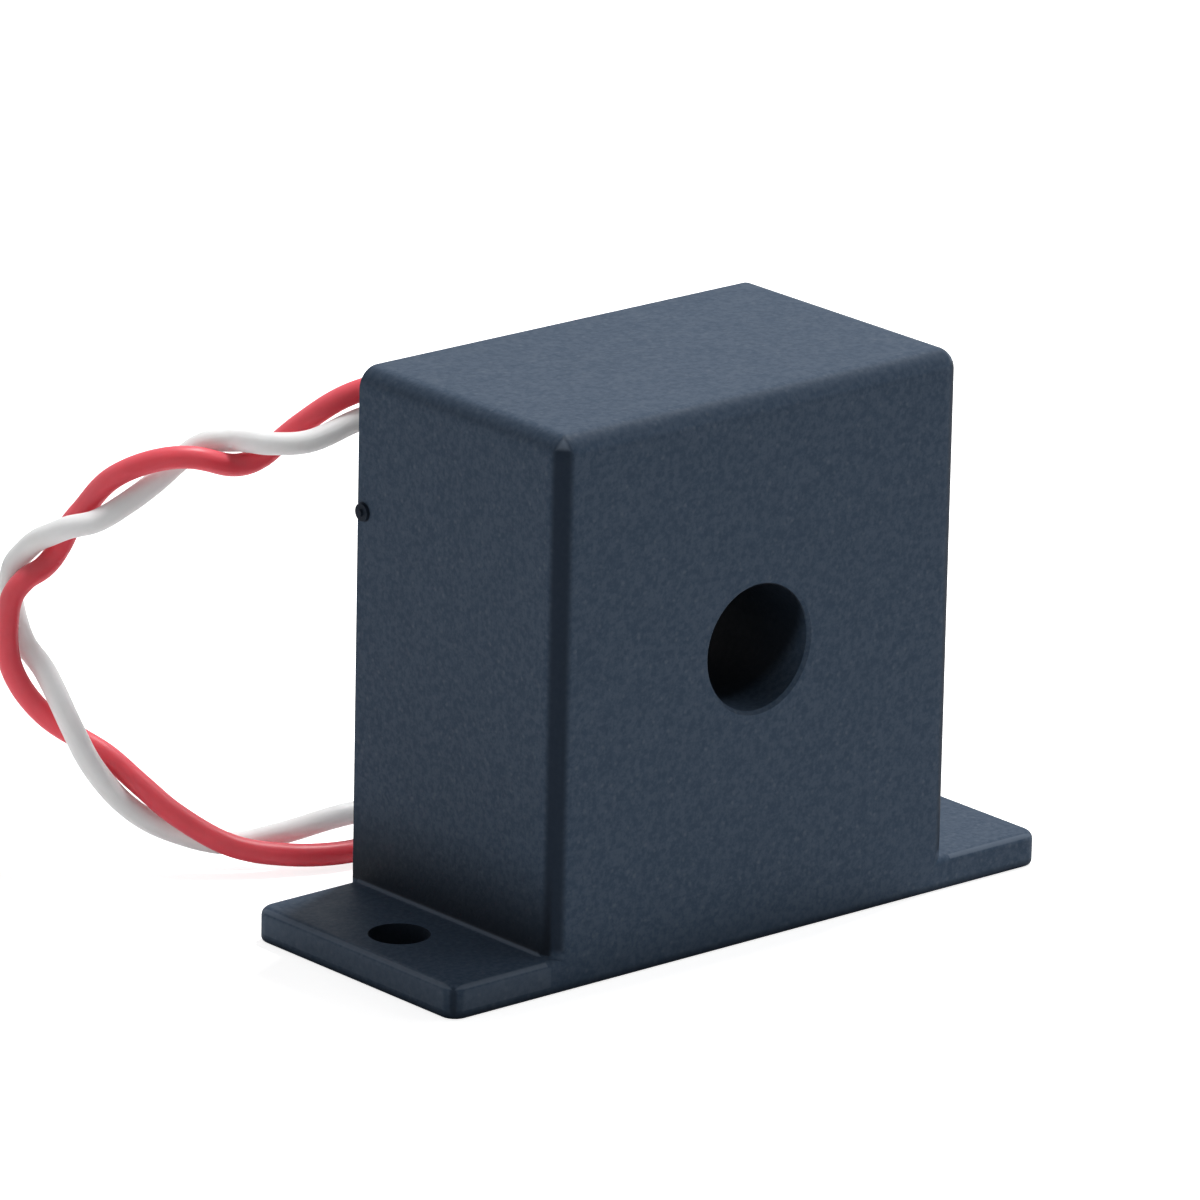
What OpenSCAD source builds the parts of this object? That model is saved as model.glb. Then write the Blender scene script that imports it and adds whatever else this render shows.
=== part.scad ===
// Small potted current transformer with two mounting feet and a twisted pair of leads.
// The conductor that is measured passes through the round hole from front to back.
// X runs along the feet, the smooth front face looks towards -Y, and Z is up from the base.

/* [Case] */
// Width of the case above the feet
case_w = 29; // [26:0.1:36]
// Depth of the case from front face to back rim
case_d = 17; // [14:0.1:22]
// Height of the case above the surface it stands on
case_h = 31.5; // [29:0.1:40]
// Thickness of the side walls and the top wall
wall_t = 1.2; // [0.8:0.1:1.6]
// Thickness of the front wall
front_t = 1.4; // [1:0.1:2.5]
// Round on the outer edges of the front, the sides and the top
edge_r = 1.2; // [0.5:0.1:2]

/* [Feet] */
// Length of each foot beyond the case
foot_l = 7; // [6.2:0.1:12]
// Thickness of the feet and of the bottom wall
foot_t = 2; // [1.4:0.1:3]
// Round of the feet's corners, seen from above
foot_corner_r = 1; // [0.9:0.1:2]
// Round along the top edge of the feet
foot_top_r = 0.5; // [0.2:0.05:0.8]
// Round along the bottom edge of the feet
foot_bottom_r = 0.3; // [0.1:0.05:0.5]
// Distance of each screw hole's axis from the side of the case
screw_x = 3.7; // [2.6:0.1:4.4]
// Diameter of a screw hole
screw_d = 3.4; // [2.5:0.1:4]

/* [Primary hole] */
// Diameter of the hole for the primary conductor
hole_d = 7.2; // [5:0.1:10]
// Height of the hole's axis above the middle of the case
hole_up = 1.25; // [0:0.05:2.5]
// Wall of the sleeve round the hole
sleeve_t = 1; // [0.6:0.1:1.2]
// Small bevel at each mouth of the hole
hole_bevel = 0.2; // [0.1:0.05:0.4]

/* [Core] */
// Least gap between the taped winding and the walls of the case
core_side_gap = 0.95; // [0.5:0.05:1.5]
// Gap between the taped winding and the sleeve that it slides over
core_bore_gap = 0.35; // [0.2:0.05:0.6]
// Wall of the core's insulating box
box_wall = 0.6; // [0.4:0.05:0.8]
// Thickness of the foam ring that holds the core down in its box
pad_t = 0.5; // [0.3:0.1:1]

/* [Secondary] */
// Build-up of the secondary winding on each side of the core box
winding_t = 0.7; // [0.4:0.05:0.8]
// Part of the circle that the winding covers, in degrees
winding_angle = 330; // [270:5:345]
// Number of turns that show in the winding's top layer
turns = 60; // [40:1:66]
// Width of one turn of the top layer
turn_w = 0.4; // [0.3:0.05:0.45]
// Height that the turns of the top layer stand above the layers below
turn_h = 0.15; // [0.1:0.05:0.3]
// Thickness of the tape wrapped over the winding
tape_t = 0.3; // [0.1:0.05:0.4]

/* [Potting] */
// Depth of the resin's surface below the back rim
potting_recess = 0.6; // [0.2:0.1:1.5]
// Depth of resin over the winding, where the leads are joined
resin_cover = 4.7; // [4.4:0.1:5.5]

/* [Leads] */
// Outside diameter of each insulated lead
lead_d = 1.3; // [1:0.05:1.4]
// Diameter of the tinned strands at the stripped end
strand_d = 0.5; // [0.3:0.05:0.7]
// Length of the stripped end
strip_len = 5; // [3:0.5:8]
// Gap between the sleeves on the two leads' joints in the resin
sleeve_gap = 0.2; // [0.1:0.05:1]

/* [Hidden] */
$fn = 64;

// How far a cut runs past the surface that it opens
overrun = 1;

// Planes of the case
front_y = -case_d / 2;
back_y = case_d / 2;
seat_y = front_y + front_t;
resin_y = back_y - potting_recess;
cavity_w = case_w - 2 * wall_t;
cavity_top = case_h - wall_t;
cavity_r = 0.8;
foot_span = case_w + 2 * foot_l;
screw_pitch = case_w + 2 * screw_x;
sleeve_r = hole_d / 2 + sleeve_t;
hole_z = case_h / 2 + hole_up;

// Inside corner between a foot and the side wall, and how tight it turns at its front end
web_r = 0.3;
web_turn_share = 0.3;

// Mark left by the moulding gate on the left wall, by the back rim
gate_d = 1;
gate_h = 0.2;
gate_z = 23.4;
gate_pin_d = 0.4;
gate_pin_h = 0.15;

// Core box, winding and tape, each wrapped round the one before
core_gap = 0.15;
pad_gap = 0.1;
mid_share = 0.5;
wrap_t = box_wall + winding_t + tape_t;
core_h = resin_y - seat_y - resin_cover - pad_t - 2 * wrap_t;
core_room = min(cavity_w / 2, cavity_top - hole_z, hole_z - foot_t);
core_od = 2 * (core_room - core_side_gap - wrap_t - core_gap);
core_id = 2 * (sleeve_r + core_bore_gap + wrap_t + core_gap);
box_ro = core_od / 2 + core_gap + box_wall;
box_ri = core_id / 2 - core_gap - box_wall;
box_h = core_h + pad_t + 2 * box_wall;
winding_ro = box_ro + winding_t;
winding_ri = box_ri - winding_t;
winding_h = box_h + 2 * winding_t;
tape_ro = winding_ro + tape_t;
tape_ri = winding_ri - tape_t;
tape_h = winding_h + 2 * tape_t;
tape_y = seat_y;
winding_y = tape_y + tape_t;
box_y = winding_y + winding_t;
core_y = box_y + box_wall;
winding_back_y = winding_y + winding_h;

// Joint between each lead and its end of the winding, inside the resin
exit_x = 5;
exit_edge = 1.3;
exit_z = cavity_top - exit_edge;
lead_grip = 2.2;
lead_gap = 0.05;
joint_d = 0.9;
joint_len = 1.6;
sleeve_wall = 0.2;
sleeve_lap = 0.8;
tail_d = 0.25;
lead_end_y = resin_y - lead_grip;
joint_y = lead_end_y - joint_len;
joint_sleeve_d = lead_d + 2 * lead_gap;
lead_pitch = joint_sleeve_d + 2 * sleeve_wall + sleeve_gap;

// Route of the twisted pair: x, distance behind the back rim, height, turn of the twist
// in degrees, and half the gap between the two leads
exit_turn = 116;
exit_run = 0.9;
lead_route = [
    [5.0, 2.1, 29.4, 108, 0.25],
    [4.5, 3.4, 29.5, 92, 0.15],
    [3.0, 4.9, 28.5, 78, 0.15],
    [0.3, 6.5, 27.4, 60, 0.15],
    [-3.2, 8.1, 26.4, 35, 0.2],
    [-6.6, 9.8, 25.5, 0, 0.1],
    [-9.0, 11.0, 24.2, -40, 0.1],
    [-10.5, 12.0, 23.5, -90, 0.05],
    [-11.4, 12.8, 23.1, -135, 0.05],
    [-12.2, 13.6, 22.9, -180, 0.04],
    [-13.5, 14.4, 23.0, -225, 0.05],
    [-14.7, 15.1, 22.7, -270, 0.05],
    [-16.1, 15.9, 22.0, -315, 0.1],
    [-17.7, 16.9, 20.9, -360, 0.15],
    [-19.0, 17.8, 19.6, -405, 0.1],
    [-20.1, 18.5, 18.8, -450, 0.05],
    [-20.8, 19.1, 17.9, -495, 0.05],
    [-21.5, 19.5, 17.1, -540, 0.04],
    [-22.4, 19.9, 16.2, -585, 0.05],
    [-22.9, 20.0, 14.7, -630, 0.05],
    [-23.0, 19.4, 12.2, -670, 0.1],
    [-22.5, 18.5, 10.4, -720, 0.15],
    [-21.8, 17.4, 8.6, -765, 0.1],
    [-21.0, 16.4, 7.2, -810, 0.05],
    [-20.2, 15.3, 5.9, -855, 0.05],
    [-19.0, 13.8, 4.1, -900, 0.04],
    [-17.6, 12.2, 2.7, -945, 0.05],
    [-15.3, 10.0, 1.5, -990, 0.1],
    [-12.6, 8.3, 1.4, -1035, 0.2],
    [-9.0, 6.7, 1.8, -1080, 0.4],
    [-4.2, 7.0, 1.7, -1110, 0.3],
    [0.0, 6.8, 1.7, -1150, 0.25],
    [4.2, 7.1, 1.7, -1190, 0.25],
    [8.3, 7.9, 1.7, -1230, 0.25],
    [12.2, 9.2, 1.7, -1270, 0.25],
    [15.9, 10.9, 1.7, -1300, 0.3],
    [19.3, 13.1, 1.7, -1320, 0.35],
];
lead_sides = 8;
twist_view = [-0.62, -0.72, 0.3];

// Unit vector along v
function unit(v) = v / norm(v);

// Direction of a row of points at its point i
function direction(p, i) = unit(p[min(i + 1, len(p) - 1)] - p[max(i - 1, 0)]);

// The two directions across a line that runs along t
function across_b(t) = unit(twist_view - (twist_view * t) * t);
function across_n(t) = cross(t, across_b(t));

// Middle line of the pair, from the buried end to the stripped end
pair_line = concat(
    [for (y = [lead_end_y, resin_y, back_y + exit_run]) [exit_x, y, exit_z]],
    [for (p = lead_route) [p[0], back_y + p[1], p[2]]]
);
pair_turn = concat([for (i = [0:2]) exit_turn], [for (p = lead_route) p[3]]);
pair_spread = concat(
    [for (i = [0:2]) lead_pitch / 2],
    [for (p = lead_route) lead_d / 2 + p[4]]
);

// Middle line of one lead, which starts its turns at angle start
function lead_line(start) = [
    for (i = [0:len(pair_line) - 1])
        let (t = direction(pair_line, i), a = pair_turn[i] + start)
            pair_line[i] + pair_spread[i] * (cos(a) * across_n(t) + sin(a) * across_b(t))
];
red_line = lead_line(0);
white_line = lead_line(180);

// Places one lead's own shapes at its end of the joint
red_x = exit_x - lead_pitch / 2;
white_x = exit_x + lead_pitch / 2;

// Rectangle with true round corners, centred
module round_rect(w, h, r) {
    square([w - 2 * r, h], center = true);
    square([w, h - 2 * r], center = true);
    for (sx = [-1, 1], sy = [-1, 1])
        translate([sx * (w / 2 - r), sy * (h / 2 - r)]) circle(r = r);
}

// Turns a shape drawn along +Z to lie along +Y on the hole's axis, starting at y
module along_hole(y) {
    translate([0, y, hole_z]) rotate([-90, 0, 0]) children();
}

// The same on the axis of one lead's joint
module along_joint(x, y) {
    translate([x, y, exit_z]) rotate([-90, 0, 0]) children();
}

// Plain ring
module ring(r_in, r_out, h) {
    difference() {
        cylinder(r = r_out, h = h);
        translate([0, 0, -overrun]) cylinder(r = r_in, h = h + 2 * overrun);
    }
}

// Cutter that rounds an edge lying along +Z, with the body on its -X and -Y sides
module round_over(length, r) {
    translate([-r, -r, 0]) difference() {
        cube([r + overrun, r + overrun, length]);
        translate([0, 0, -overrun]) cylinder(r = r, h = length + 2 * overrun);
    }
}

// Cutter that rounds the corner where three such edges meet
module round_corner(r) {
    translate([-r, -r, -r]) difference() {
        cube(r + overrun);
        sphere(r = r);
    }
}

// Block of the case above the feet, with its front, side and top edges rounded
module case_block() {
    difference() {
        translate([-case_w / 2, front_y, foot_t / 2])
            cube([case_w, case_d, case_h - foot_t / 2]);
        for (side = [0, 1]) mirror([side, 0, 0]) {
            translate([case_w / 2, front_y, -overrun]) mirror([0, 1, 0])
                round_over(case_h - edge_r + overrun, edge_r);
            translate([case_w / 2, front_y + edge_r, case_h]) rotate([-90, 0, 0])
                mirror([0, 1, 0]) round_over(case_d - edge_r + overrun, edge_r);
            translate([case_w / 2, front_y, case_h]) mirror([0, 1, 0])
                round_corner(edge_r);
        }
        translate([-case_w / 2 + edge_r, front_y, case_h]) rotate([0, 90, 0])
            mirror([1, 0, 0]) mirror([0, 1, 0]) round_over(case_w - 2 * edge_r, edge_r);
    }
}

// Half section of the foot plate: its thickness with one end rounded over, from 0 to reach
module foot_section(reach) {
    square([reach - foot_top_r, foot_t]);
    translate([0, foot_bottom_r]) square([reach, foot_t - foot_top_r - foot_bottom_r]);
    square([reach - foot_bottom_r, foot_t - foot_top_r]);
    translate([reach - foot_top_r, foot_t - foot_top_r]) circle(r = foot_top_r);
    translate([reach - foot_bottom_r, foot_bottom_r]) circle(r = foot_bottom_r);
}

// Foot plate under the whole case, with rounded corners and edges
module foot_plate() {
    bar_x = foot_span / 2 - foot_corner_r;
    bar_y = case_d / 2 - foot_corner_r;
    for (side = [0, 1]) {
        mirror([0, side, 0]) translate([-bar_x, 0, 0]) rotate([90, 0, 90])
            linear_extrude(2 * bar_x) foot_section(case_d / 2);
        mirror([side, 0, 0]) translate([0, bar_y, 0]) rotate([90, 0, 0])
            linear_extrude(2 * bar_y) foot_section(foot_span / 2);
    }
    for (sx = [-1, 1], sy = [-1, 1]) translate([sx * bar_x, sy * bar_y, 0])
        rotate_extrude() foot_section(foot_corner_r);
}

// Section of the inside corner between a foot and the side wall
module web_section() {
    difference() {
        square(web_r);
        translate([web_r, web_r]) circle(r = web_r);
    }
}

// Inside corner along each foot, which turns into the case's rounded edge at the front
module foot_webs() {
    turn_r = web_turn_share * edge_r;
    for (side = [0, 1]) mirror([side, 0, 0]) translate([0, 0, foot_t]) {
        translate([case_w / 2, back_y - foot_top_r, 0]) rotate([90, 0, 0])
            linear_extrude(case_d - foot_top_r - edge_r) web_section();
        translate([case_w / 2 - turn_r, front_y + edge_r, 0]) rotate([0, 0, -90])
            rotate_extrude(angle = 90) translate([turn_r, 0]) web_section();
    }
}

// Round mark of the moulding gate
module gate_mark() {
    translate([-case_w / 2 - gate_h, back_y - gate_d / 2, gate_z]) rotate([0, 90, 0]) {
        cylinder(d = gate_d, h = gate_h + wall_t / 2);
        translate([0, 0, -gate_pin_h]) cylinder(d = gate_pin_d, h = gate_pin_h + gate_h);
    }
}

// Section of the room inside the case, seen from the back
module cavity_section() {
    translate([0, (foot_t + cavity_top) / 2])
        round_rect(cavity_w, cavity_top - foot_t, cavity_r);
}

// Extrudes a section drawn in X and Z from plane y0 to plane y1
module between(y0, y1) {
    translate([0, y1, 0]) rotate([90, 0, 0]) linear_extrude(y1 - y0) children();
}

// Hole for the primary conductor, with a bevel at each mouth
module primary_hole() {
    along_hole(front_y - overrun) cylinder(d = hole_d, h = case_d + 2 * overrun);
    for (side = [0, 1]) mirror([0, side, 0])
        along_hole(front_y) cylinder(d1 = hole_d + 2 * hole_bevel, d2 = hole_d, h = hole_bevel);
}

module case() {
    color("#38424f") difference() {
        union() {
            difference() {
                union() {
                    case_block();
                    foot_plate();
                    foot_webs();
                    gate_mark();
                }
                between(seat_y, back_y + overrun) cavity_section();
            }
            along_hole(seat_y) cylinder(r = sleeve_r, h = case_d - front_t);
        }
        primary_hole();
        for (side = [-1, 1]) translate([side * screw_pitch / 2, 0, -overrun])
            cylinder(d = screw_d, h = foot_t + 2 * overrun);
    }
}

module potting() {
    color("#1b1d21") difference() {
        between(seat_y, resin_y) cavity_section();
        along_hole(seat_y - overrun) cylinder(r = sleeve_r, h = case_d);
        along_hole(seat_y - overrun) cylinder(r = tape_ro, h = tape_h + overrun);
        for (x = [red_x, white_x]) {
            along_joint(x, lead_end_y) cylinder(d = joint_sleeve_d, h = lead_grip + overrun);
            along_joint(x, joint_y)
                cylinder(d = joint_sleeve_d + 2 * sleeve_wall, h = joint_len + sleeve_lap);
            tail_rod(x);
        }
    }
}

module core() {
    color("#8d9298") along_hole(core_y) ring(core_id / 2, core_od / 2, core_h);
}

// Trough of the core box, which opens towards the back
module core_cup() {
    color("#d8d3c4") along_hole(box_y) difference() {
        ring(box_ri, box_ro, box_h - box_wall);
        translate([0, 0, box_wall]) ring(box_ri + box_wall, box_ro - box_wall, box_h);
    }
}

module core_lid() {
    color("#e2ddce") along_hole(box_y + box_h - box_wall) ring(box_ri, box_ro, box_wall);
}

module core_pad() {
    color("#c9c9c4") along_hole(core_y + core_h)
        ring(box_ri + box_wall + pad_gap, box_ro - box_wall - pad_gap, pad_t);
}

// Half section of the winding, build units thick on the core box
module winding_section(build) {
    difference() {
        translate([box_ri - build, winding_t - build])
            square([box_ro - box_ri + 2 * build, box_h + 2 * build]);
        translate([box_ri, winding_t]) square([box_ro - box_ri, box_h]);
    }
}

// Section that the turns of the top layer are cut from, from inside the lower layers outwards
module turn_section() {
    build = mid_share * (winding_t - turn_h);
    difference() {
        translate([winding_ri - overrun, -overrun])
            square([winding_ro - winding_ri + 2 * overrun, winding_h + 2 * overrun]);
        translate([box_ri - build, winding_t - build])
            square([box_ro - box_ri + 2 * build, box_h + 2 * build]);
    }
}

// Enamelled wire round the core box: the lower layers as one body with the single
// turns of the top layer standing proud, and a gap between start and finish
module winding() {
    first = -90 + (360 - winding_angle) / 2;
    pitch = winding_angle / turns;
    color("#b5622b") along_hole(winding_y) {
        rotate([0, 0, first]) rotate_extrude(angle = winding_angle)
            winding_section(winding_t - turn_h);
        intersection() {
            ring(winding_ri, winding_ro, winding_h);
            for (i = [0:turns - 1]) rotate([90, 0, first + (i + mid_share) * pitch])
                translate([0, 0, -turn_w / 2]) linear_extrude(turn_w) turn_section();
        }
    }
}

module winding_tape() {
    color("#d9b63c") difference() {
        along_hole(tape_y) difference() {
            ring(tape_ri, tape_ro, tape_h);
            translate([0, 0, tape_t]) ring(winding_ri, winding_ro, winding_h);
        }
        for (x = [red_x, white_x]) tail_rod(x);
    }
}

// Drop from a joint's axis to where its winding end meets the turns, over the core box's rim
function tail_drop(x) = exit_z - hole_z - sqrt(box_ro * box_ro - x * x);

// Line of one winding end from the solder joint down to the turns, longer than it
module tail_rod(x) {
    run = joint_y - winding_back_y;
    lean = atan2(tail_drop(x), run);
    reach = norm([tail_drop(x), run]);
    translate([x, joint_y, exit_z]) rotate([90 + lean, 0, 0])
        translate([0, 0, -tail_d]) cylinder(d = tail_d, h = reach + 2 * tail_d);
}

module tail(x) {
    color("#b5622b") intersection() {
        tail_rod(x);
        translate([x - joint_d, winding_back_y, exit_z - tail_drop(x) - joint_d])
            cube([2 * joint_d, joint_y - winding_back_y, tail_drop(x) + 2 * joint_d]);
    }
}

module joint(x) {
    color("#b9bcc0") along_joint(x, joint_y) cylinder(d = joint_d, h = joint_len);
}

module joint_sleeve(x) {
    color("#2a2a2c") along_joint(x, joint_y)
        ring(joint_sleeve_d / 2, joint_sleeve_d / 2 + sleeve_wall, joint_len + sleeve_lap);
}

// Tube with lead_sides sides along a row of points
module tube(line, d) {
    last = len(line) - 1;
    n = lead_sides;
    corners = [
        for (i = [0:last])
            let (t = direction(line, i))
                for (k = [0:n - 1])
                    let (a = 360 * k / n)
                        line[i] + d / 2 * (cos(a) * across_n(t) + sin(a) * across_b(t))
    ];
    skin = [
        for (i = [0:last - 1], k = [0:n - 1])
            let (a = i * n + k, b = i * n + (k + 1) % n)
                each [[a, b, b + n], [a, b + n, a + n]]
    ];
    ends = [[for (k = [0:n - 1]) n - 1 - k], [for (k = [0:n - 1]) last * n + k]];
    polyhedron(points = corners, faces = concat(skin, ends));
}

// Tinned strands that stand out of the stripped end of a lead
module strands(line) {
    last = len(line) - 1;
    v = direction(line, last);
    color("#c3c6c8") translate(line[last])
        rotate([0, acos(v[2]), atan2(v[1], v[0])]) cylinder(d = strand_d, h = strip_len);
}

case();
potting();
core();
core_cup();
core_lid();
core_pad();
winding();
winding_tape();
tail(red_x);  // start_tail
tail(white_x);  // finish_tail
joint(red_x);  // start_joint
joint(white_x);  // finish_joint
joint_sleeve(red_x);  // start_sleeve
joint_sleeve(white_x);  // finish_sleeve
color("#c43a42") tube(red_line, lead_d);  // red_lead
color("#dcdfe0") tube(white_line, lead_d);  // white_lead
strands(red_line);  // red_strands
strands(white_line);  // white_strands
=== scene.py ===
import math

import bpy
from mathutils import Matrix, Vector


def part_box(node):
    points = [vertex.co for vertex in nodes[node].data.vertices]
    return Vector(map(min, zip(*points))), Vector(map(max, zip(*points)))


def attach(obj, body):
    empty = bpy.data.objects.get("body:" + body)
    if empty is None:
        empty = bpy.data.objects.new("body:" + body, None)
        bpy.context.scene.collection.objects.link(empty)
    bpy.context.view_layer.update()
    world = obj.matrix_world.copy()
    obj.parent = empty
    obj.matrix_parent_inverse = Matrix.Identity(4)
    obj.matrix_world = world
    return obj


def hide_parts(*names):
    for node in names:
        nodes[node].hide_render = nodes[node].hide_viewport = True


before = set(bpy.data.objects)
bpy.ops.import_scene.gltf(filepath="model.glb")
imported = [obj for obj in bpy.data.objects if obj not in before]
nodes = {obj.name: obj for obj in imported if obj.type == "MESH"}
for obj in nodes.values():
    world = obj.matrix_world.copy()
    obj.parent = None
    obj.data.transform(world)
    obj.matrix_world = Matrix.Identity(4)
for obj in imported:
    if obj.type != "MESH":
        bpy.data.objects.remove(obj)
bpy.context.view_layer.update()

bpy.context.scene.view_settings.view_transform = "Standard"


# The view of the photograph: a long lens that looks at the left front edge of the case from
# a little above, held with a slight roll.
camera_azimuth = math.radians(-41.0)
camera_elevation = math.radians(17.77)
camera_roll = math.radians(1.2)
camera_distance = 0.61725
camera_target = Vector((-0.00206, 0.00247, 0.01735))

camera_turn = (
    Matrix.Rotation(camera_azimuth, 3, "Z")
    @ Matrix.Rotation(math.radians(90) - camera_elevation, 3, "X")
    @ Matrix.Rotation(camera_roll, 3, "Z")
)
bpy.ops.object.camera_add(
    location=camera_target + camera_turn @ Vector((0, 0, camera_distance)),
    rotation=camera_turn.to_euler(),
)
camera = bpy.context.object
camera.data.sensor_width = 36.0
camera.data.lens = 335.86
camera.data.clip_start = 0.01
bpy.context.scene.camera = camera


# The leads are hook-up wire with extruded insulation, one red and one white, twisted by hand.
# They leave the resin side by side, swing out to the left in a stiff loop and come down to
# the table, where the rest of their length lies behind the case.
lead_diameter = 0.0013
lead_exit_x = 0.005
lead_exit_z = 0.029
lead_exit_turn = 116
lead_exit_gap = 0.00035
lead_exit_reach = 0.0009
lead_exits = {"red": lead_exit_x - 0.001, "white": lead_exit_x + 0.001}
lead_steps = 8
back_rim_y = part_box("case")[1].y
resin_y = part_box("potting")[1].y
lead_start_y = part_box("red_lead")[0].y

# x, distance behind the back rim, height, turn of the twist in degrees, half gap
lead_route = [
    (0.0050, 0.0021, 0.0294, 108, 0.00025),
    (0.0045, 0.0034, 0.0295, 92, 0.00015),
    (0.0030, 0.0049, 0.0285, 78, 0.00015),
    (0.0003, 0.0065, 0.0274, 60, 0.00015),
    (-0.0032, 0.0081, 0.0264, 35, 0.00020),
    (-0.0066, 0.0098, 0.0255, 0, 0.00010),
    (-0.0090, 0.0110, 0.0242, -40, 0.00010),
    (-0.0105, 0.0120, 0.0235, -90, 0.00005),
    (-0.0114, 0.0128, 0.0231, -135, 0.00005),
    (-0.0122, 0.0136, 0.0229, -180, 0.00004),
    (-0.0135, 0.0144, 0.0230, -225, 0.00005),
    (-0.0147, 0.0151, 0.0227, -270, 0.00005),
    (-0.0161, 0.0159, 0.0220, -315, 0.00010),
    (-0.0177, 0.0169, 0.0209, -360, 0.00015),
    (-0.0190, 0.0178, 0.0196, -405, 0.00010),
    (-0.0201, 0.0185, 0.0188, -450, 0.00005),
    (-0.0208, 0.0191, 0.0179, -495, 0.00005),
    (-0.0215, 0.0195, 0.0171, -540, 0.00004),
    (-0.0224, 0.0199, 0.0162, -585, 0.00005),
    (-0.0229, 0.0200, 0.0147, -630, 0.00005),
    (-0.0230, 0.0194, 0.0122, -670, 0.00010),
    (-0.0225, 0.0185, 0.0104, -720, 0.00015),
    (-0.0218, 0.0174, 0.0086, -765, 0.00010),
    (-0.0210, 0.0164, 0.0072, -810, 0.00005),
    (-0.0202, 0.0153, 0.0059, -855, 0.00005),
    (-0.0190, 0.0138, 0.0041, -900, 0.00004),
    (-0.0176, 0.0122, 0.0027, -945, 0.00005),
    (-0.0153, 0.0100, 0.0015, -990, 0.00010),
    (-0.0126, 0.0083, 0.0014, -1035, 0.00020),
    (-0.0090, 0.0067, 0.0018, -1080, 0.00040),
    (-0.0042, 0.0070, 0.0017, -1110, 0.00030),
    (0.0000, 0.0068, 0.0017, -1150, 0.00025),
    (0.0042, 0.0071, 0.0017, -1190, 0.00025),
    (0.0083, 0.0079, 0.0017, -1230, 0.00025),
    (0.0122, 0.0092, 0.0017, -1270, 0.00025),
    (0.0159, 0.0109, 0.0017, -1300, 0.00030),
    (0.0193, 0.0131, 0.0017, -1320, 0.00035),
]
lead_rows = [
    (lead_exit_x, y - back_rim_y, lead_exit_z, lead_exit_turn, lead_exit_gap)
    for y in (lead_start_y, resin_y, back_rim_y + lead_exit_reach)
] + lead_route
twist_view = Vector((-0.62, -0.72, 0.3))


def smooth_rows(rows, steps):
    """Rows of the smooth line through the given ones, with steps rows from each to the next."""
    rows = [Vector(row) for row in rows]
    ends = [2 * rows[0] - rows[1], *rows, 2 * rows[-1] - rows[-2]]
    line = []
    for a, b, c, d in zip(ends, ends[1:], ends[2:], ends[3:]):
        for step in range(steps):
            t = step / steps
            square = 2 * a - 5 * b + 4 * c - d
            line.append(b + t / 2 * (c - a + t * (square + t * (3 * (b - c) + d - a))))
    return line + [rows[-1]]


def lead_line(start_turn):
    """Middle line of one lead of the twisted pair, which starts its turns at that angle."""
    rows = smooth_rows(lead_rows, lead_steps)
    middle = [Vector((row[0], back_rim_y + row[1], row[2])) for row in rows]
    line = []
    for i, (point, row) in enumerate(zip(middle, rows)):
        along = (middle[min(i + 1, len(rows) - 1)] - middle[max(i - 1, 0)]).normalized()
        towards = (twist_view - twist_view.dot(along) * along).normalized()
        across = along.cross(towards)
        turn = math.radians(row[3] + start_turn)
        spread = lead_diameter / 2 + row[4]
        line.append(point + spread * (math.cos(turn) * across + math.sin(turn) * towards))
    return line


def lead(name, line):
    """Insulation of one lead: a round section swept along the line, with cut ends."""
    curve = bpy.data.curves.new(name, "CURVE")
    curve.dimensions = "3D"
    curve.bevel_depth = lead_diameter / 2
    curve.bevel_resolution = 8
    curve.use_fill_caps = True
    spline = curve.splines.new("POLY")
    spline.points.add(len(line) - 1)
    for point, place in zip(spline.points, line):
        point.co = (*place, 1)
    spline.use_smooth = True
    piece = bpy.data.objects.new(name, curve)
    bpy.context.collection.objects.link(piece)
    bpy.ops.object.select_all(action="DESELECT")
    piece.select_set(True)
    bpy.context.view_layer.objects.active = piece
    bpy.ops.object.convert(target="MESH")
    piece = bpy.context.object
    bpy.ops.object.mode_set(mode="EDIT")
    bpy.ops.mesh.select_all(action="SELECT")
    bpy.ops.mesh.remove_doubles(threshold=0.000001)
    bpy.ops.mesh.normals_make_consistent(inside=False)
    bpy.ops.object.mode_set(mode="OBJECT")
    bpy.ops.object.shade_smooth_by_angle(angle=math.radians(50))
    return piece


red_line = lead_line(0)
white_line = lead_line(180)
red_insulation = lead("red_insulation", red_line)
white_insulation = lead("white_insulation", white_line)


# Each lead is stripped at its far end, where seven strands of copper lie twisted together
# and tinned.
strand_diameter = 0.00016
strand_length = 0.005
strand_twist = math.radians(400)


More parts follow.
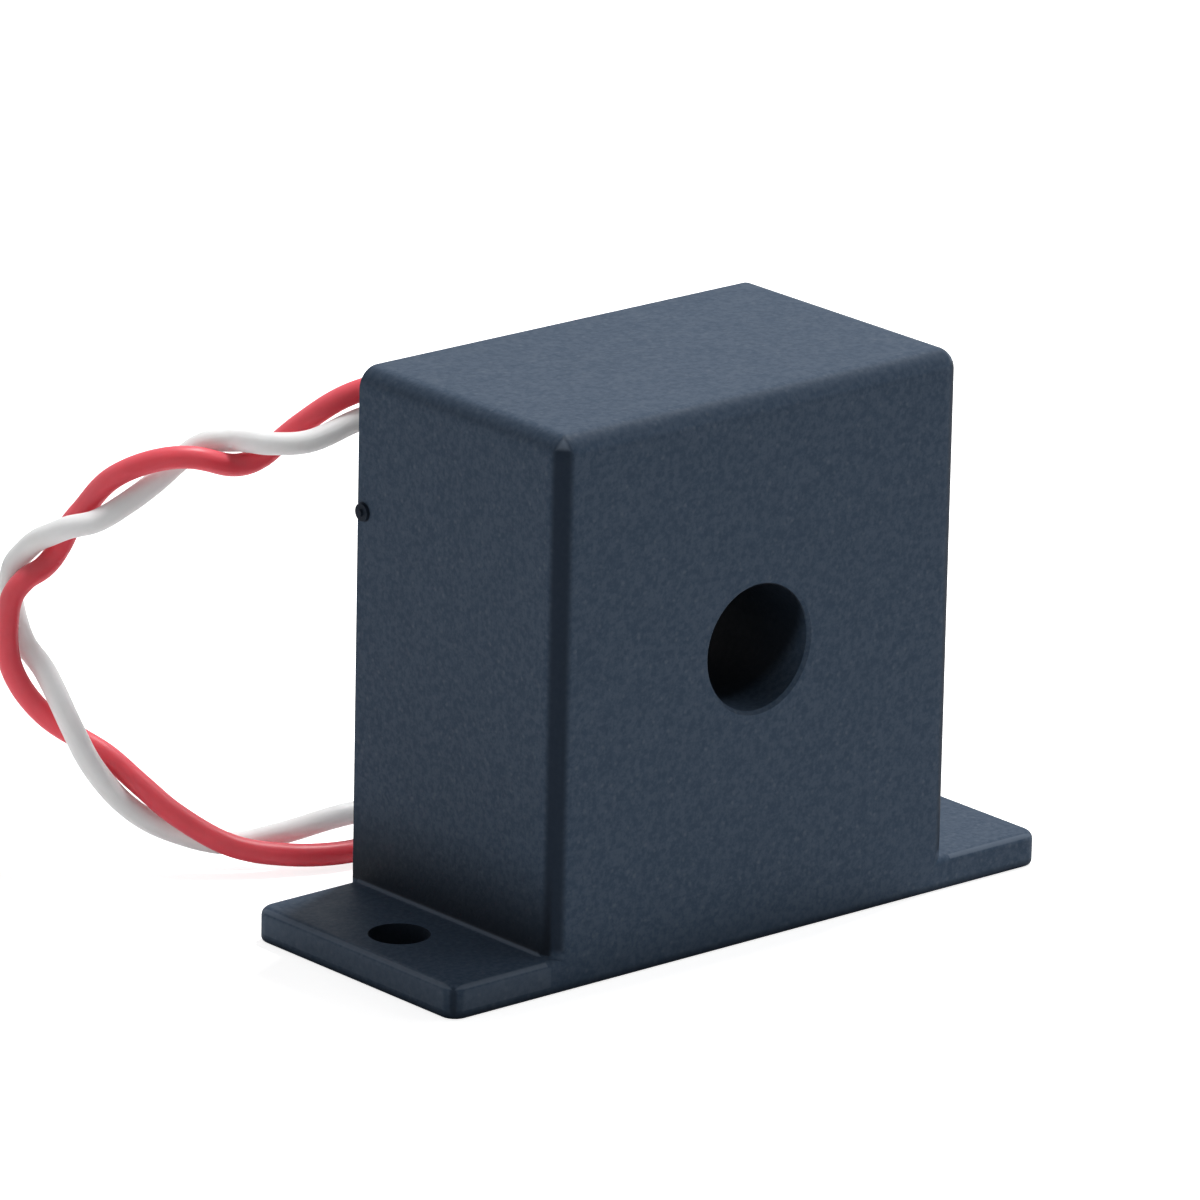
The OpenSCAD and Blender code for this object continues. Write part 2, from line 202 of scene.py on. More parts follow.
def strands(name, line):
    """Twisted strands that stand out of the cut end of a lead."""
    bpy.ops.object.select_all(action="DESELECT")
    places = [(0, 0)] + [
        (strand_diameter * math.cos(turn), strand_diameter * math.sin(turn))
        for turn in (math.radians(60 * i) for i in range(6))
    ]
    rings = []
    for x, y in places:
        bpy.ops.mesh.primitive_circle_add(
            vertices=12, radius=strand_diameter / 2, location=(x, y, 0)
        )
        rings.append(bpy.context.object)
    for ring in rings:
        ring.select_set(True)
    bpy.ops.object.join()
    piece = bpy.context.object
    piece.name = name
    bpy.ops.object.transform_apply(location=True)
    screw = piece.modifiers.new("twist", "SCREW")
    screw.angle = strand_twist
    screw.screw_offset = strand_length
    screw.steps = screw.render_steps = 32
    screw.use_smooth_shade = True
    bpy.ops.object.modifier_apply(modifier=screw.name)
    bpy.ops.object.mode_set(mode="EDIT")
    bpy.ops.mesh.select_all(action="SELECT")
    bpy.ops.mesh.region_to_loop()
    bpy.ops.mesh.edge_face_add()
    bpy.ops.mesh.select_all(action="SELECT")
    bpy.ops.mesh.normals_make_consistent(inside=False)
    bpy.ops.object.mode_set(mode="OBJECT")
    along = line[-1] - line[-2]
    turned = along.to_track_quat("Z", "X").to_matrix().to_4x4()
    piece.matrix_world = Matrix.Translation(line[-1]) @ turned
    bpy.ops.object.transform_apply(location=True, rotation=True)
    return piece


red_strands = strands("red_lead_strands", red_line)
white_strands = strands("white_lead_strands", white_line)

red_names = ("red_lead", "red_strands", "red_insulation")
white_names = ("white_lead", "white_strands", "white_insulation")
for insulation, ends, (node, end_node, slot), line, exit_x in (
    (red_insulation, red_strands, red_names, red_line, lead_exits["red"]),
    (white_insulation, white_strands, white_names, white_line, lead_exits["white"]),
):
    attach(insulation, "root")
    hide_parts(node)
    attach(ends, "root")
    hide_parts(end_node)


# The insulation is soft plastic with a low sheen. It has faint streaks along the wire from
# the die that it was drawn through, and slight shades from handling.
def new_material(name, color, roughness, metallic=0.0, **sockets):
    """A material with its plain values on the shader's own sockets."""
    material = bpy.data.materials.new(name)
    material.use_nodes = True
    shader = material.node_tree.nodes["Principled BSDF"]
    shader.inputs["Base Color"].default_value = (*color, 1)
    shader.inputs["Roughness"].default_value = roughness
    shader.inputs["Metallic"].default_value = metallic
    for socket, value in sockets.items():
        shader.inputs[socket.replace("_", " ")].default_value = value
    return material


def add_node(tree, kind, inputs=None, **settings):
    """A new node with its settings and the plain values of its inputs."""
    added = tree.nodes.new("ShaderNode" + kind)
    for setting, value in settings.items():
        setattr(added, setting, value)
    for socket, value in (inputs or {}).items():
        added.inputs[socket].default_value = value
    return added


def new_group(name, inputs, outputs):
    """A node group with named sockets, each input given with its plain value."""
    group = bpy.data.node_groups.new(name, "ShaderNodeTree")
    for label, value in inputs.items():
        socket = group.interface.new_socket(label, in_out="INPUT", socket_type="NodeSocketFloat")
        socket.default_value = value
    for label in outputs:
        group.interface.new_socket(label, in_out="OUTPUT", socket_type="NodeSocketFloat")
    return group, group.nodes.new("NodeGroupInput"), group.nodes.new("NodeGroupOutput")


def use_group(tree, group, inputs):
    """A node that places the group in a material with its own values."""
    placed = tree.nodes.new("ShaderNodeGroup")
    placed.node_tree = group
    for socket, value in inputs.items():
        placed.inputs[socket].default_value = value
    return placed


# Grain in the surface: fine roughness of the skin, slow changes of tone, and pale specks
fine_grain, taken, given = new_group(
    "fine_grain",
    {"Grains": 4000.0, "Patches": 300.0, "Specks": 1500.0, "Speck size": 0.1},
    ("Tone", "Height", "Speck"),
)
coordinates = add_node(fine_grain, "TexCoord")
skin = add_node(fine_grain, "TexNoise", {"Detail": 3.0, "Roughness": 0.6})
patches = add_node(fine_grain, "TexNoise", {"Detail": 4.0, "Roughness": 0.6})
tone = add_node(fine_grain, "MapRange", {"From Min": 0.3, "From Max": 0.7})
cells = add_node(fine_grain, "TexVoronoi")
speck = add_node(fine_grain, "MapRange", {"From Min": 0.0, "To Min": 1.0, "To Max": 0.0})
for texture, scale in ((skin, "Grains"), (patches, "Patches"), (cells, "Specks")):
    fine_grain.links.new(coordinates.outputs["Object"], texture.inputs["Vector"])
    fine_grain.links.new(taken.outputs[scale], texture.inputs["Scale"])
fine_grain.links.new(patches.outputs["Fac"], tone.inputs["Value"])
fine_grain.links.new(cells.outputs["Distance"], speck.inputs["Value"])
fine_grain.links.new(taken.outputs["Speck size"], speck.inputs["From Max"])
fine_grain.links.new(tone.outputs["Result"], given.inputs["Tone"])
fine_grain.links.new(skin.outputs["Fac"], given.inputs["Height"])
fine_grain.links.new(speck.outputs["Result"], given.inputs["Speck"])


def mix_colors(tree, factor, low, high, share=1.0):
    """Color between low and high by the factor's output, of which only a share counts."""
    mixed = add_node(tree, "Mix", data_type="RGBA")
    for socket, color in ((mixed.inputs[6], low), (mixed.inputs[7], high)):
        if isinstance(color, tuple):
            socket.default_value = (*color, 1)
        else:
            tree.links.new(color, socket)
    if share < 1.0:
        scaled = add_node(tree, "Math", {1: share}, operation="MULTIPLY")
        tree.links.new(factor, scaled.inputs[0])
        factor = scaled.outputs["Value"]
    tree.links.new(factor, mixed.inputs[0])
    return mixed.outputs[2]


def spread(tree, value, low, high):
    """Value from 0 to 1 laid out between low and high."""
    ranged = add_node(tree, "MapRange", {"To Min": low, "To Max": high})
    tree.links.new(value, ranged.inputs["Value"])
    return ranged.outputs["Result"]


def bump(tree, height, distance, under=None):
    """Bump from a height from 0 to 1 that stands distance metres high."""
    bumped = add_node(tree, "Bump", {"Distance": distance, "Strength": 1.0})
    tree.links.new(height, bumped.inputs["Height"])
    if under is not None:
        tree.links.new(under, bumped.inputs["Normal"])
    return bumped.outputs["Normal"]


def insulation_material(name, color, worn):
    """Drawn insulation, with streaks along the wire and patches of a handled tone."""
    material = new_material(
        name,
        color,
        0.4,
        Specular_IOR_Level=0.35,
        Subsurface_Weight=0.9,
        Subsurface_Scale=0.001,
        Subsurface_Radius=(1.0, 1.0, 1.0),
    )
    tree = material.node_tree
    shader = tree.nodes["Principled BSDF"]
    along = add_node(tree, "UVMap", uv_map="UVMap")
    stretched = add_node(tree, "Mapping", {"Scale": (30.0, 12.0, 1.0)})
    streaks = add_node(tree, "TexNoise", {"Scale": 1.0, "Detail": 2.0})
    grain = use_group(tree, fine_grain, {"Grains": 2500.0, "Patches": 260.0})
    tree.links.new(along.outputs["UV"], stretched.inputs["Vector"])
    tree.links.new(stretched.outputs["Vector"], streaks.inputs["Vector"])
    handled = mix_colors(tree, grain.outputs["Tone"], color, worn)
    tree.links.new(handled, shader.inputs["Base Color"])
    tree.links.new(spread(tree, streaks.outputs["Fac"], 0.32, 0.5), shader.inputs["Roughness"])
    drawn = bump(tree, streaks.outputs["Fac"], 0.00002)
    skinned = bump(tree, grain.outputs["Height"], 0.000006, under=drawn)
    tree.links.new(skinned, shader.inputs["Normal"])
    return material


red_insulation.data.materials.append(
    insulation_material("red_insulation", (0.84, 0.105, 0.14), (0.78, 0.085, 0.115))
)
white_insulation.data.materials.append(
    insulation_material("white_insulation", (0.92, 0.94, 0.955), (0.84, 0.85, 0.84))
)

# The strands are copper under a skin of solder that ran unevenly and has dulled a little
tinned_copper = new_material("tinned_copper", (0.66, 0.65, 0.62), 0.35, 1.0)
tree = tinned_copper.node_tree
shader = tree.nodes["Principled BSDF"]
grain = use_group(tree, fine_grain, {"Grains": 3500.0, "Patches": 1800.0})
dulled = mix_colors(tree, grain.outputs["Tone"], (0.70, 0.69, 0.66), (0.50, 0.48, 0.44))
tree.links.new(dulled, shader.inputs["Base Color"])
tree.links.new(spread(tree, grain.outputs["Tone"], 0.24, 0.48), shader.inputs["Roughness"])
tree.links.new(bump(tree, grain.outputs["Height"], 0.00002), shader.inputs["Normal"])
red_strands.data.materials.append(tinned_copper)
white_strands.data.materials.append(tinned_copper)


# The case is moulded in one piece from dark blue-grey plastic, with a fine matte grain from
# the spark eroded mould, pale specks of dust and a darker gate mark. Shade is painted darker
# on its edges, in its holes and above the feet, and highlights paler on rims and corners.
case_half_width = 0.0145
case_front = 0.0085
case_top = 0.0315
edge_radius = 0.0012
foot_top = 0.002
foot_end = 0.0215
foot_radius = 0.0005
corner_radius = 0.001
web_radius = 0.0003
sleeve_z = 0.017
primary_radius = 0.0036
screw_radius = 0.0017
screw_x = 0.0182
gate = (-case_half_width, 0.008, 0.0234)
gate_radius = 0.0005
bottom_edge_low, bottom_edge_high = 0.0002, 0.0006
foot_face_low = 0.0005
hole_margin = 0.00004
bore_lit_to, bore_dark_from = case_front - 0.0002, case_front - 0.0015
bore_slant = 0.5
gate_margin = 0.0001
shade_height = 0.006


def math_node(tree, operation, first, second):
    """Output of a math node whose inputs are given as values or as outputs of other nodes."""
    added = add_node(tree, "Math", operation=operation)
    for socket, value in zip(added.inputs, (first, second)):
        if isinstance(value, float):
            socket.default_value = value
        else:
            tree.links.new(value, socket)
    return added.outputs["Value"]


def least(tree, *values):
    """The smallest of some values."""
    smallest = values[0]
    for value in values[1:]:
        smallest = math_node(tree, "MINIMUM", smallest, value)
    return smallest


def most(tree, *values):
    """The largest of some values."""
    largest = values[0]
    for value in values[1:]:
        largest = math_node(tree, "MAXIMUM", largest, value)
    return largest


def soft_step(tree, value, start, end, share=1.0):
    """Zero up to the start, then a smooth rise to the share at the end."""
    step = add_node(
        tree,
        "MapRange",
        {"From Min": start, "From Max": end, "To Max": share},
        interpolation_type="SMOOTHSTEP",
    )
    tree.links.new(value, step.inputs["Value"])
    return step.outputs["Result"]


# Distances from the axis of the primary hole, and the angle round it
round_hole, taken, given = new_group("round_the_hole", {}, ("Radius", "Turn"))
coordinates = add_node(round_hole, "TexCoord")
parts = add_node(round_hole, "SeparateXYZ")
round_hole.links.new(coordinates.outputs["Object"], parts.inputs["Vector"])
height = math_node(round_hole, "SUBTRACT", parts.outputs["Z"], sleeve_z)
flat = add_node(round_hole, "CombineXYZ")
radius = add_node(round_hole, "VectorMath", operation="LENGTH")
round_hole.links.new(parts.outputs["X"], flat.inputs["X"])
round_hole.links.new(height, flat.inputs["Z"])
round_hole.links.new(flat.outputs["Vector"], radius.inputs[0])
turn = math_node(round_hole, "ARCTAN2", height, parts.outputs["X"])
round_hole.links.new(radius.outputs["Value"], given.inputs["Radius"])
round_hole.links.new(turn, given.inputs["Turn"])

# Places on the case where shade is painted darker: the upright front edges, the top
# edges, the corners of the feet and the bottom edges
case_places, taken, given = new_group("case_places", {}, ("Painted edge shade", "Smooth", "Painted highlight"))
coordinates = add_node(case_places, "TexCoord")
parts = add_node(case_places, "SeparateXYZ")
case_places.links.new(coordinates.outputs["Object"], parts.inputs["Vector"])
across = math_node(case_places, "ABSOLUTE", parts.outputs["X"], 0.0)
height = parts.outputs["Z"]
forward = math_node(case_places, "MULTIPLY", parts.outputs["Y"], -1.0)
past_side = math_node(case_places, "SUBTRACT", across, case_half_width - edge_radius)
past_front = math_node(case_places, "SUBTRACT", forward, case_front - edge_radius)
past_top = math_node(case_places, "SUBTRACT", height, case_top - edge_radius)
past_foot = math_node(case_places, "SUBTRACT", height, foot_top)
upright = least(case_places, past_side, past_front, past_foot)
level = least(case_places, past_top, most(case_places, past_side, past_front))
foot_corner = least(
    case_places,
    math_node(case_places, "SUBTRACT", across, foot_end - corner_radius),
    math_node(case_places, "SUBTRACT", forward, case_front - corner_radius),
)
# Painted shade on these edges
painted_edge_shade = most(
    case_places,
    soft_step(case_places, foot_corner, 0.45 * corner_radius, 0.65 * corner_radius, 0.8),
    soft_step(case_places, upright, 0.12 * edge_radius, 0.5 * edge_radius),
    soft_step(case_places, level, 0.2 * edge_radius, 0.6 * edge_radius, 0.4),
    soft_step(case_places, height, bottom_edge_high, bottom_edge_low, 0.9),
)
case_places.links.new(painted_edge_shade, given.inputs["Painted edge shade"])

# Painted shade inside the primary hole, at its mouth less so towards the bottom where light
# falls in, in the screw holes and on the walls just above the feet; the gate mark is darker
polar = use_group(case_places, round_hole, {})
from_axis = polar.outputs["Radius"]
into_bore = math_node(case_places, "SUBTRACT", primary_radius + 1.5 * hole_margin, from_axis)
below_axis = math_node(case_places, "SUBTRACT", sleeve_z, height)
slanted = math_node(case_places, "MULTIPLY", below_axis, bore_slant)
lit = math_node(case_places, "ADD", forward, slanted)
painted_bore_shade = math_node(
    case_places,
    "MULTIPLY",
    soft_step(case_places, into_bore, 0.0, hole_margin),
    soft_step(case_places, lit, bore_lit_to, bore_dark_from, 0.9),
)
screw_place = add_node(case_places, "CombineXYZ")
screw_across = math_node(case_places, "SUBTRACT", across, screw_x)
case_places.links.new(screw_across, screw_place.inputs["X"])
case_places.links.new(parts.outputs["Y"], screw_place.inputs["Y"])
screw_distance = add_node(case_places, "VectorMath", operation="LENGTH")
case_places.links.new(screw_place.outputs["Vector"], screw_distance.inputs[0])
from_screw = screw_distance.outputs["Value"]
into_screw = math_node(case_places, "SUBTRACT", screw_radius + hole_margin, from_screw)
gate_distance = add_node(case_places, "VectorMath", {1: gate}, operation="DISTANCE")
case_places.links.new(coordinates.outputs["Object"], gate_distance.inputs[0])
from_gate = gate_distance.outputs["Value"]
into_gate = math_node(case_places, "SUBTRACT", gate_radius + gate_margin, from_gate)
# Painted shade on the side walls, darker down towards the feet
on_wall = soft_step(case_places, past_side, 0.7 * edge_radius, 0.85 * edge_radius)
shade = soft_step(case_places, height, foot_top + shade_height, foot_top, 0.9)
above_foot = soft_step(case_places, past_foot, 0.0, 0.0002)
shaded_wall = math_node(case_places, "MULTIPLY", on_wall, shade)
# Painted shade in the primary hole, the screw holes and above the feet, and the darker gate mark
smooth = most(
    case_places,
    painted_bore_shade,
    soft_step(case_places, into_screw, 0.0, 0.75 * hole_margin, 0.9),
    soft_step(case_places, into_gate, 0.0, gate_margin, 0.8),
    math_node(case_places, "MULTIPLY", shaded_wall, above_foot),
)
case_places.links.new(smooth, given.inputs["Smooth"])

# Painted highlights on the feet's rims, the left foot's faces, the webs and the front top
# corners
past_end = math_node(case_places, "SUBTRACT", across, foot_end - foot_radius)
past_face = math_node(case_places, "SUBTRACT", forward, case_front - foot_radius)
past_either = most(case_places, past_end, past_face)
off_block = math_node(case_places, "SUBTRACT", across, case_half_width)
foot_rim = least(
    case_places,
    math_node(case_places, "SUBTRACT", height, foot_top - foot_radius),
    past_either,
    math_node(case_places, "SUBTRACT", foot_top + foot_radius, height),
    off_block,
)
to_left = math_node(case_places, "MULTIPLY", parts.outputs["X"], -1.0)
foot_face = least(
    case_places,
    math_node(case_places, "SUBTRACT", to_left, case_half_width),
    math_node(case_places, "SUBTRACT", past_either, 0.9 * foot_radius),
    math_node(case_places, "SUBTRACT", height, foot_face_low),
)
web = least(
    case_places,
    math_node(case_places, "SUBTRACT", web_radius, off_block),
    off_block,
    math_node(case_places, "SUBTRACT", web_radius, past_foot),
    past_foot,
)
corner = least(case_places, upright, past_top)
# Painted highlights on rims, webs, left foot faces and corners
pale = most(
    case_places,
    soft_step(case_places, foot_rim, 0.38 * foot_radius, 0.58 * foot_radius),
    soft_step(case_places, foot_face, 0.0, 0.1 * foot_radius, 0.45),
    soft_step(case_places, web, 0.0, 0.2 * web_radius),
    soft_step(case_places, corner, 0.3 * edge_radius, 0.5 * edge_radius),
)
case_places.links.new(pale, given.inputs["Painted highlight"])

case_plastic = new_material("case_plastic", (0.038, 0.060, 0.095), 0.5, Specular_IOR_Level=0.1)
tree = case_plastic.node_tree
shader = tree.nodes["Principled BSDF"]
grain = use_group(
    tree, fine_grain, {"Grains": 3000.0, "Patches": 600.0, "Specks": 1500.0, "Speck size": 0.25}
)
places = use_group(tree, case_places, {})
pores = soft_step(tree, grain.outputs["Height"], 0.32, 0.68)
toned = mix_colors(tree, grain.outputs["Tone"], (0.031, 0.0535, 0.088), (0.0345, 0.056, 0.090))
mottled = mix_colors(tree, pores, toned, (0.080, 0.106, 0.148), 0.45)
dusty = mix_colors(tree, grain.outputs["Speck"], mottled, (0.17, 0.195, 0.23), 0.2)
# Painted shade on the edges of the case
painted_edge_shade = mix_colors(tree, places.outputs["Painted edge shade"], dusty, (0.010, 0.018, 0.032), 0.9)
# Painted shade in the primary hole, the screw holes and on the walls above the feet, and the
# darker gate mark
smooth = mix_colors(tree, places.outputs["Smooth"], painted_edge_shade, (0.004, 0.006, 0.010))
# Painted highlights on the rims of the feet, the webs, the faces of the left foot and the front
# top corners
pale = mix_colors(tree, places.outputs["Painted highlight"], smooth, (0.11, 0.14, 0.185), 0.75)
tree.links.new(pale, shader.inputs["Base Color"])
tree.links.new(spread(tree, grain.outputs["Tone"], 0.5, 0.6), shader.inputs["Roughness"])
tree.links.new(bump(tree, grain.outputs["Height"], 0.00002), shader.inputs["Normal"])
nodes["case"].data.materials[0] = case_plastic


# The open back is filled with black casting resin. It set a little below the rim with slow
# waves in its low gloss, and it crept up the walls, the sleeve and the two leads.
sleeve_radius = 0.0046
case_corner = 0.0008
resin_low, resin_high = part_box("potting")
resin_color = (0.010, 0.011, 0.013)
resin_black = new_material("potting_resin", resin_color, 0.25, Specular_IOR_Level=0.4)
tree = resin_black.node_tree
shader = tree.nodes["Principled BSDF"]
grain = use_group(
    tree, fine_grain, {"Grains": 160.0, "Patches": 900.0, "Specks": 700.0, "Speck size": 0.07}
)
dusty = mix_colors(tree, grain.outputs["Speck"], resin_color, (0.10, 0.10, 0.10), 0.6)
tree.links.new(dusty, shader.inputs["Base Color"])
tree.links.new(spread(tree, grain.outputs["Tone"], 0.2, 0.3), shader.inputs["Roughness"])
waves = bump(tree, grain.outputs["Height"], 0.00012)
tree.links.new(bump(tree, grain.outputs["Speck"], 0.00002, under=waves), shader.inputs["Normal"])
nodes["potting"].data.materials[0] = resin_black


def creep(steps):
    """Turns the face being edited into a closed ring of resin, inset and raised by steps."""
    bpy.ops.mesh.select_all(action="SELECT")
    for inset, rise in steps:
        bpy.ops.mesh.inset(thickness=inset, depth=rise)
    bpy.ops.mesh.delete(type="FACE")
    bpy.ops.mesh.select_all(action="SELECT")
    bpy.ops.mesh.extrude_region_move(TRANSFORM_OT_translate={"value": (0, 0, 0)})
    bpy.ops.transform.resize(value=(1, 1, 0), center_override=(0, 0, -0.00005))
    bpy.ops.mesh.select_all(action="SELECT")
    bpy.ops.mesh.normals_make_consistent(inside=False)
    bpy.ops.object.mode_set(mode="OBJECT")
    bpy.ops.object.transform_apply(location=True, rotation=True, scale=True)
    bpy.ops.object.shade_smooth_by_angle(angle=math.radians(35))
    return bpy.context.object


rises = ((0.00004, 0.00012), (0.00006, 0.00008), (0.0001, 0.00005), (0.0002, 0.00003))
creep_width = sum(inset for inset, rise in rises)
creep_height = sum(rise for inset, rise in rises)
bpy.ops.object.select_all(action="DESELECT")
bpy.ops.mesh.primitive_plane_add(
    size=1, location=(0, -(resin_low.z + resin_high.z) / 2, creep_height)
)
bpy.context.object.scale = (resin_high.x - resin_low.x, resin_high.z - resin_low.z, 1)
bpy.ops.object.transform_apply(location=True, scale=True)
bpy.ops.object.mode_set(mode="EDIT")
bpy.ops.mesh.select_all(action="SELECT")
bpy.ops.mesh.bevel(offset=case_corner, offset_type="OFFSET", segments=6, affect="VERTICES")
rings = [creep([(inset, -rise) for inset, rise in rises])]
collars = [(0, sleeve_z, sleeve_radius, 64)] + [
    (x, lead_exit_z, lead_diameter / 2, 24) for x in lead_exits.values()
]
for x, z, radius, sides in collars:
    bpy.ops.object.select_all(action="DESELECT")
    bpy.ops.mesh.primitive_circle_add(
        vertices=sides, radius=radius + creep_width, fill_type="NGON", location=(x, -z, 0)
    )
    bpy.ops.object.mode_set(mode="EDIT")
    rings.append(creep(rises[::-1]))
bpy.ops.object.select_all(action="DESELECT")
for ring in rings:
    ring.select_set(True)
bpy.context.view_layer.objects.active = rings[0]
bpy.ops.object.join()
resin_creep = bpy.context.object
resin_creep.name = "resin_creep"
upright_turn = Matrix.Rotation(math.radians(-90), 4, "X")
resin_creep.matrix_world = Matrix.Translation((0, resin_y, 0)) @ upright_turn
bpy.ops.object.transform_apply(location=True, rotation=True)
resin_creep.data.materials.append(resin_black)
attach(resin_creep, "root")


# Inside the resin stands the core: thin magnetic strip wound on edge round the primary hole.
# Its faces show the edges of the turns, like the side of a roll of tape.
def ripple(tree, value, per_unit):
    """Even ripple from 0 to 1 with so many waves for each unit of the value."""
    scaled = add_node(tree, "Math", {1: per_unit * 2 * math.pi}, operation="MULTIPLY")
    wave = add_node(tree, "Math", operation="SINE")
    ranged = add_node(tree, "MapRange", {"From Min": -1.0, "From Max": 1.0})
    tree.links.new(value, scaled.inputs[0])
    tree.links.new(scaled.outputs["Value"], wave.inputs[0])
    tree.links.new(wave.outputs["Value"], ranged.inputs["Value"])
    return ranged.outputs["Result"]


strip_pitch = 0.00018
core_strip = new_material("core_strip", (0.42, 0.43, 0.45), 0.4, 1.0)
tree = core_strip.node_tree
shader = tree.nodes["Principled BSDF"]
polar = use_group(tree, round_hole, {})
grain = use_group(tree, fine_grain, {"Grains": 5000.0, "Patches": 500.0})
edges = ripple(tree, polar.outputs["Radius"], 1 / strip_pitch)
steel = mix_colors(tree, grain.outputs["Tone"], (0.34, 0.35, 0.37), (0.48, 0.49, 0.51))
gaps = mix_colors(tree, edges, (0.20, 0.20, 0.21), steel)
tree.links.new(gaps, shader.inputs["Base Color"])
tree.links.new(spread(tree, grain.outputs["Tone"], 0.32, 0.5), shader.inputs["Roughness"])
tree.links.new(bump(tree, edges, 0.00003), shader.inputs["Normal"])
nodes["core"].data.materials[0] = core_strip


# The core lies in a moulded box of off-white nylon, a trough with a flat lid, and a ring of
# grey foam keeps it from rattling.
core_box = new_material("core_box", (0.66, 0.62, 0.53), 0.5)
tree = core_box.node_tree
shader = tree.nodes["Principled BSDF"]
grain = use_group(tree, fine_grain, {"Grains": 3000.0, "Patches": 250.0, "Specks": 900.0})
nylon = mix_colors(tree, grain.outputs["Tone"], (0.62, 0.58, 0.48), (0.70, 0.66, 0.57))
specked = mix_colors(tree, grain.outputs["Speck"], nylon, (0.35, 0.30, 0.22), 0.5)
tree.links.new(specked, shader.inputs["Base Color"])
tree.links.new(spread(tree, grain.outputs["Height"], 0.42, 0.58), shader.inputs["Roughness"])
tree.links.new(bump(tree, grain.outputs["Height"], 0.00002), shader.inputs["Normal"])
for node in ("core_cup", "core_lid"):
    nodes[node].data.materials[0] = core_box

foam = new_material("foam", (0.45, 0.45, 0.43), 0.95, Specular_IOR_Level=0.2)
tree = foam.node_tree
shader = tree.nodes["Principled BSDF"]
grain = use_group(
    tree, fine_grain, {"Grains": 2500.0, "Patches": 600.0, "Specks": 4500.0, "Speck size": 0.45}
)
# Shade is painted darker in the pits of the foam's cells
painted_pit_shade = mix_colors(tree, grain.outputs["Speck"], (0.52, 0.52, 0.50), (0.16, 0.16, 0.15), 0.8)
tree.links.new(painted_pit_shade, shader.inputs["Base Color"])
tree.links.new(spread(tree, grain.outputs["Tone"], 0.88, 1.0), shader.inputs["Roughness"])
pits = bump(tree, grain.outputs["Speck"], -0.00006)
tree.links.new(bump(tree, grain.outputs["Height"], 0.00003, under=pits), shader.inputs["Normal"])
nodes["core_pad"].data.materials[0] = foam


# Round the box goes the secondary winding of enamelled copper wire, and its two ends rise
# through the tape to the joints. Shade is painted darker in the grooves between the turns.
turn_angle = math.radians(330) / 60
enamelled_wire = new_material(
    "enamelled_wire", (0.48, 0.15, 0.05), 0.3, 0.8, Coat_Weight=0.6, Coat_Roughness=0.15
)
tree = enamelled_wire.node_tree
shader = tree.nodes["Principled BSDF"]
polar = use_group(tree, round_hole, {})
grain = use_group(tree, fine_grain, {"Grains": 3000.0, "Patches": 700.0})
wires = ripple(tree, polar.outputs["Turn"], 1 / turn_angle)
enamel = mix_colors(tree, grain.outputs["Tone"], (0.42, 0.11, 0.035), (0.58, 0.20, 0.07))
# Painted shade in the grooves between the turns
between = mix_colors(tree, wires, enamel, (0.20, 0.05, 0.02), 0.45)
tree.links.new(between, shader.inputs["Base Color"])
tree.links.new(spread(tree, grain.outputs["Tone"], 0.22, 0.38), shader.inputs["Roughness"])
tree.links.new(bump(tree, grain.outputs["Height"], 0.00001), shader.inputs["Normal"])
for node in ("winding", "start_tail", "finish_tail"):
    nodes[node].data.materials[0] = enamelled_wire


# Yellow polyester tape holds the winding. It is wrapped round the ring with an overlap, so
# its edges run across it like the spokes of a wheel.
tape_wraps = 36
yellow_tape = new_material("yellow_tape", (0.70, 0.46, 0.06), 0.25, Coat_Weight=0.3)
tree = yellow_tape.node_tree
shader = tree.nodes["Principled BSDF"]
polar = use_group(tree, round_hole, {})
grain = use_group(tree, fine_grain, {"Grains": 900.0, "Patches": 200.0})
wraps = add_node(tree, "Math", {1: tape_wraps / (2 * math.pi)}, operation="MULTIPLY")
step = add_node(tree, "Math", operation="FRACT")
tree.links.new(polar.outputs["Turn"], wraps.inputs[0])
tree.links.new(wraps.outputs["Value"], step.inputs[0])
film = mix_colors(tree, grain.outputs["Tone"], (0.66, 0.42, 0.05), (0.74, 0.50, 0.08))
lapped = mix_colors(tree, step.outputs["Value"], film, (0.48, 0.28, 0.03), 0.5)
tree.links.new(lapped, shader.inputs["Base Color"])
tree.links.new(spread(tree, grain.outputs["Height"], 0.18, 0.34), shader.inputs["Roughness"])
edge = bump(tree, step.outputs["Value"], 0.00005)
tree.links.new(bump(tree, grain.outputs["Height"], 0.00003, under=edge), shader.inputs["Normal"])
nodes["winding_tape"].data.materials[0] = yellow_tape


# Each winding end is soldered to its lead, under a short sleeve of black shrink tube.
for node in ("start_joint", "finish_joint"):
    nodes[node].data.materials[0] = tinned_copper

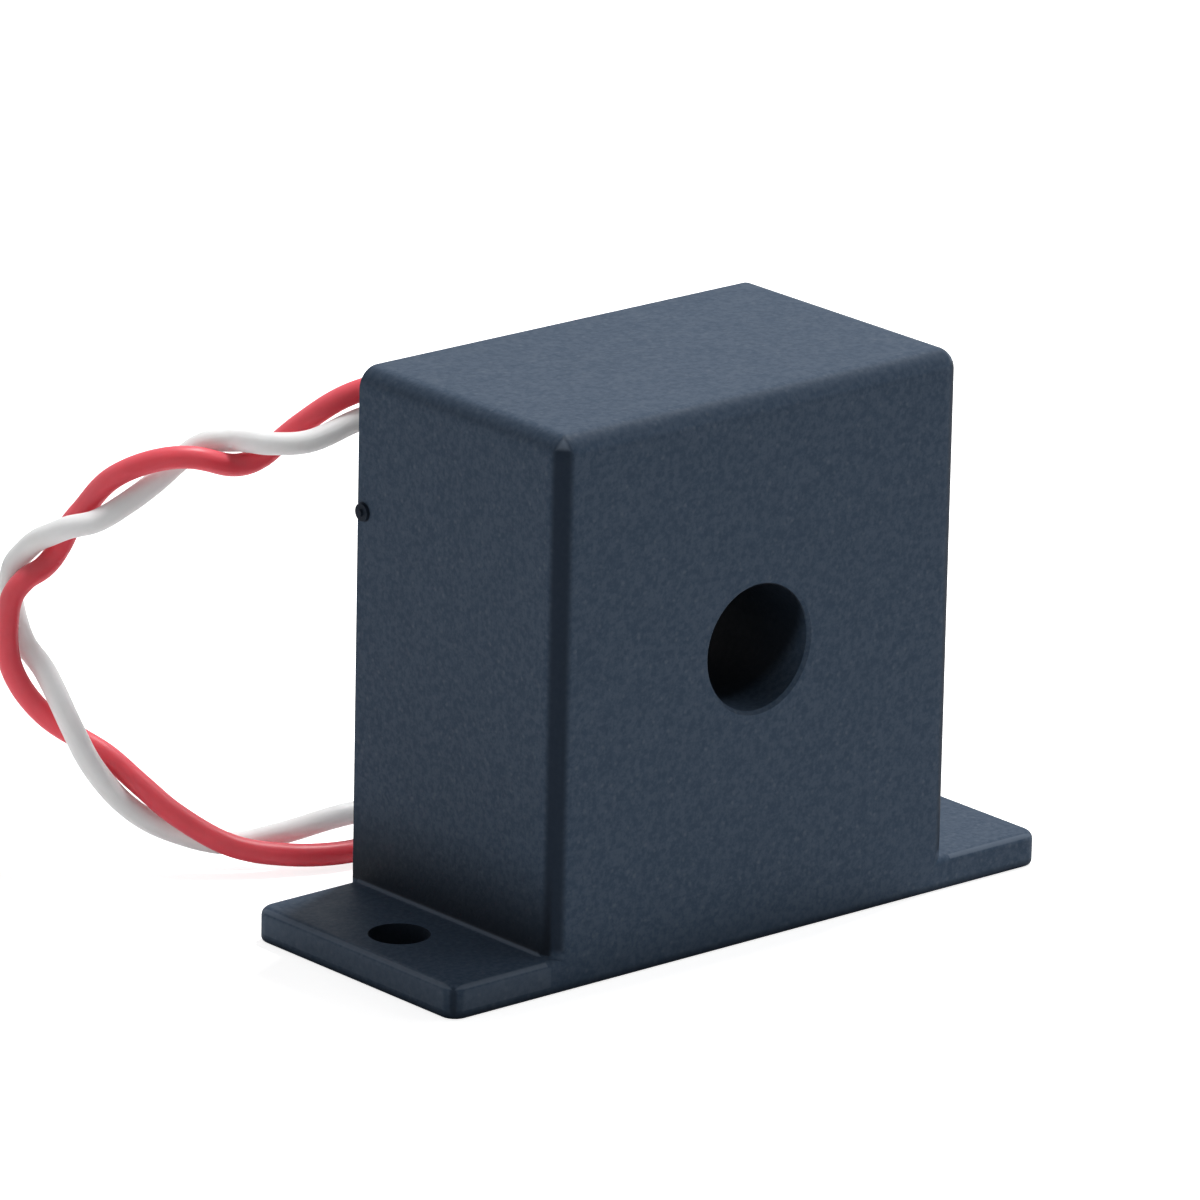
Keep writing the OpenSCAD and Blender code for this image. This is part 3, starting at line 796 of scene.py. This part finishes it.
shrink_tube = new_material("shrink_tube", (0.02, 0.02, 0.022), 0.6)
tree = shrink_tube.node_tree
shader = tree.nodes["Principled BSDF"]
grain = use_group(tree, fine_grain, {"Grains": 1800.0, "Patches": 800.0})
matt = mix_colors(tree, grain.outputs["Tone"], (0.016, 0.016, 0.018), (0.032, 0.032, 0.034))
tree.links.new(matt, shader.inputs["Base Color"])
tree.links.new(spread(tree, grain.outputs["Tone"], 0.5, 0.7), shader.inputs["Roughness"])
tree.links.new(bump(tree, grain.outputs["Height"], 0.00003), shader.inputs["Normal"])
for node in ("start_sleeve", "finish_sleeve"):
    nodes[node].data.materials[0] = shrink_tube


# The table is a plain pale sheet that keeps the shadow and shows white to the camera.
bpy.ops.object.select_all(action="DESELECT")
bpy.ops.mesh.primitive_plane_add(size=4, location=(0, 0, 0))
table = bpy.context.object
table.name = "table"
table_paint = new_material("table_paint", (0.88, 0.88, 0.88), 0.9, Specular_IOR_Level=0.2)
table.data.materials.append(table_paint)
tree = table_paint.node_tree
shader = tree.nodes["Principled BSDF"]
shader.inputs["Emission Color"].default_value = (1, 1, 1, 1)
path = add_node(tree, "LightPath")
glow = add_node(tree, "Math", {1: 0.8}, operation="MULTIPLY")
tree.links.new(path.outputs["Is Camera Ray"], glow.inputs[0])
tree.links.new(glow.outputs["Value"], shader.inputs["Emission Strength"])


# A soft lamp hangs almost overhead, a little behind and to the right, so the left foot lies
# in the case's shadow. Two weak softboxes light the front and the left wall from the sides,
# and the world is dim to the part but plain white to the camera and in reflections.
lamp_target = Vector((0, 0, 0.015))


def softbox(name, place, size, energy):
    """Square lamp at the place that shines on the middle of the part."""
    place = Vector(place)
    bpy.ops.object.light_add(type="AREA", location=place)
    lamp = bpy.context.object
    lamp.name = name
    lamp.data.shape = "SQUARE"
    lamp.data.size = size
    lamp.data.energy = energy
    lamp.rotation_euler = (lamp_target - place).to_track_quat("-Z", "Y").to_euler()


softbox("key", (0.25, 0.07, 0.64), 0.1, 4.6)
softbox("right", (0.42, -0.3, 0.33), 0.3, 0.45)
softbox("left", (-0.55, 0.2, 0.08), 0.3, 0.38)

world = bpy.data.worlds.new("studio")
bpy.context.scene.world = world
world.use_nodes = True
tree = world.node_tree
background = tree.nodes["Background"]
background.inputs["Color"].default_value = (1, 1, 1, 1)
path = add_node(tree, "LightPath")
seen = most(
    tree,
    path.outputs["Is Camera Ray"],
    path.outputs["Is Glossy Ray"],
    path.outputs["Is Transmission Ray"],
)
tree.links.new(spread(tree, seen, 0.19, 1.0), background.inputs["Strength"])
